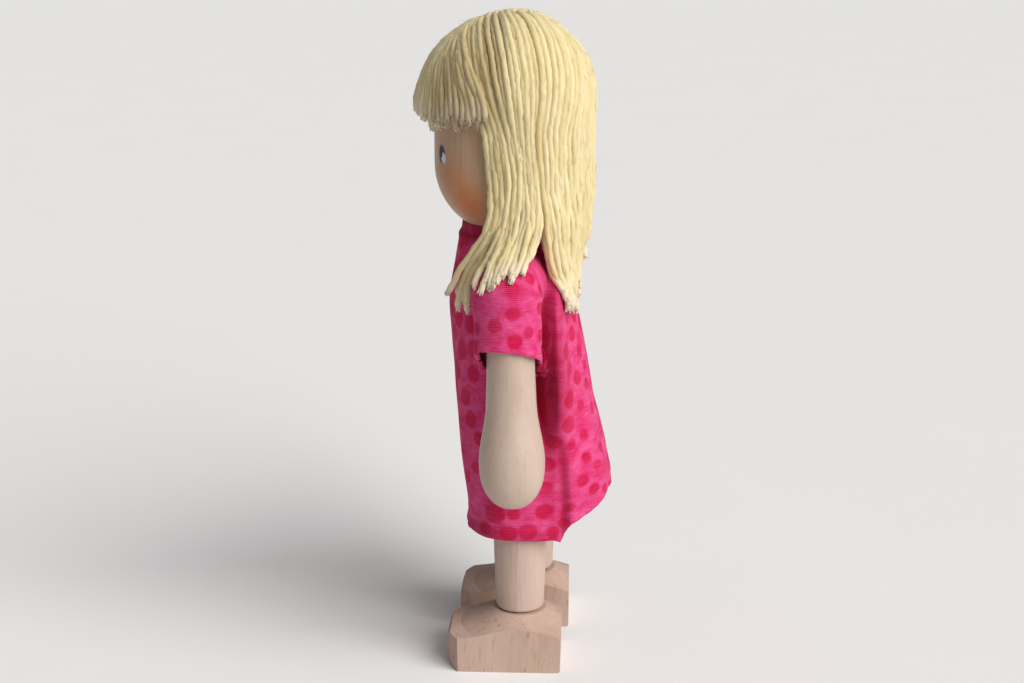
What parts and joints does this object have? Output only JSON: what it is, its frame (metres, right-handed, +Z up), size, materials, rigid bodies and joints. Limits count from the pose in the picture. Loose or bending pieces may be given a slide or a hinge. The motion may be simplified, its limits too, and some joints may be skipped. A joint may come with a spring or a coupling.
{
  "type": "peg doll",
  "caption": "Jointed turned-wood dolls' house girl with a round head, yarn hair, rounded arms, block feet and a short cotton frock.",
  "frame": {"origin": "on the floor under the middle of the standing doll", "axes": "+Z up; the doll faces -Y, so its own left side is +X"},
  "size_m": [0.0454, 0.0305, 0.1002],
  "materials": {
    "beech": "fine sanded, unvarnished",
    "painted_head": "satin varnish over painted eyes, cheeks and mouth",
    "cotton": "plain weave, pink with magenta dots",
    "yarn": "loose wool yarn",
    "cord": "braided elastic"
  },
  "bodies": {
    "torso": {"torso": "beech", "neck_peg": "beech", "shoulder_cord": "cord", "hip_cord": "cord", "bodice": "cotton", "skirt": "cotton", "neck_hem": "cotton"},
    "head": {"head": "painted_head", "hair_cap": "yarn", "fringe": "yarn", "hair_lengths": "yarn"},
    "left_arm": {"left_arm": "beech", "left_sleeve": "cotton"},
    "right_arm": {"right_arm": "beech", "right_sleeve": "cotton"},
    "left_leg": {"left_leg": "beech"},
    "right_leg": {"right_leg": "beech"},
    "left_foot": {"left_foot": "beech", "left_ankle_peg": "beech"},
    "right_foot": {"right_foot": "beech", "right_ankle_peg": "beech"}
  },
  "joints": [
    {"name": "neck_turn", "type": "hinge", "parent": "torso", "child": "head", "pos_m": [0, -0.0002, 0.0675], "axis": [0, 0, 1], "range_deg": [-70, 70], "deforming": ["hair_lengths"]},
    {"name": "left_shoulder", "type": "hinge", "parent": "torso", "child": "left_arm", "pos_m": [0.0145, 0.0012, 0.06], "axis": [1, 0, 0], "range_deg": [-90, 45]},
    {"name": "right_shoulder", "type": "hinge", "parent": "torso", "child": "right_arm", "pos_m": [-0.0145, 0.0012, 0.06], "axis": [1, 0, 0], "range_deg": [-90, 45]},
    {"name": "left_hip", "type": "hinge", "parent": "torso", "child": "left_leg", "pos_m": [0.0081, 0.0021, 0.032], "axis": [1, 0, 0], "range_deg": [-90, 30], "deforming": ["skirt"]},
    {"name": "right_hip", "type": "hinge", "parent": "torso", "child": "right_leg", "pos_m": [-0.0081, 0.0021, 0.032], "axis": [1, 0, 0], "range_deg": [-90, 30], "deforming": ["skirt"]},
    {"name": "left_ankle", "type": "hinge", "parent": "left_leg", "child": "left_foot", "pos_m": [0.0081, 0.0021, 0.0085], "axis": [0, 0, 1], "range_deg": [-12, 20]},
    {"name": "right_ankle", "type": "hinge", "parent": "right_leg", "child": "right_foot", "pos_m": [-0.0081, 0.0021, 0.0085], "axis": [0, 0, 1], "range_deg": [-29, 3]}
  ]
}
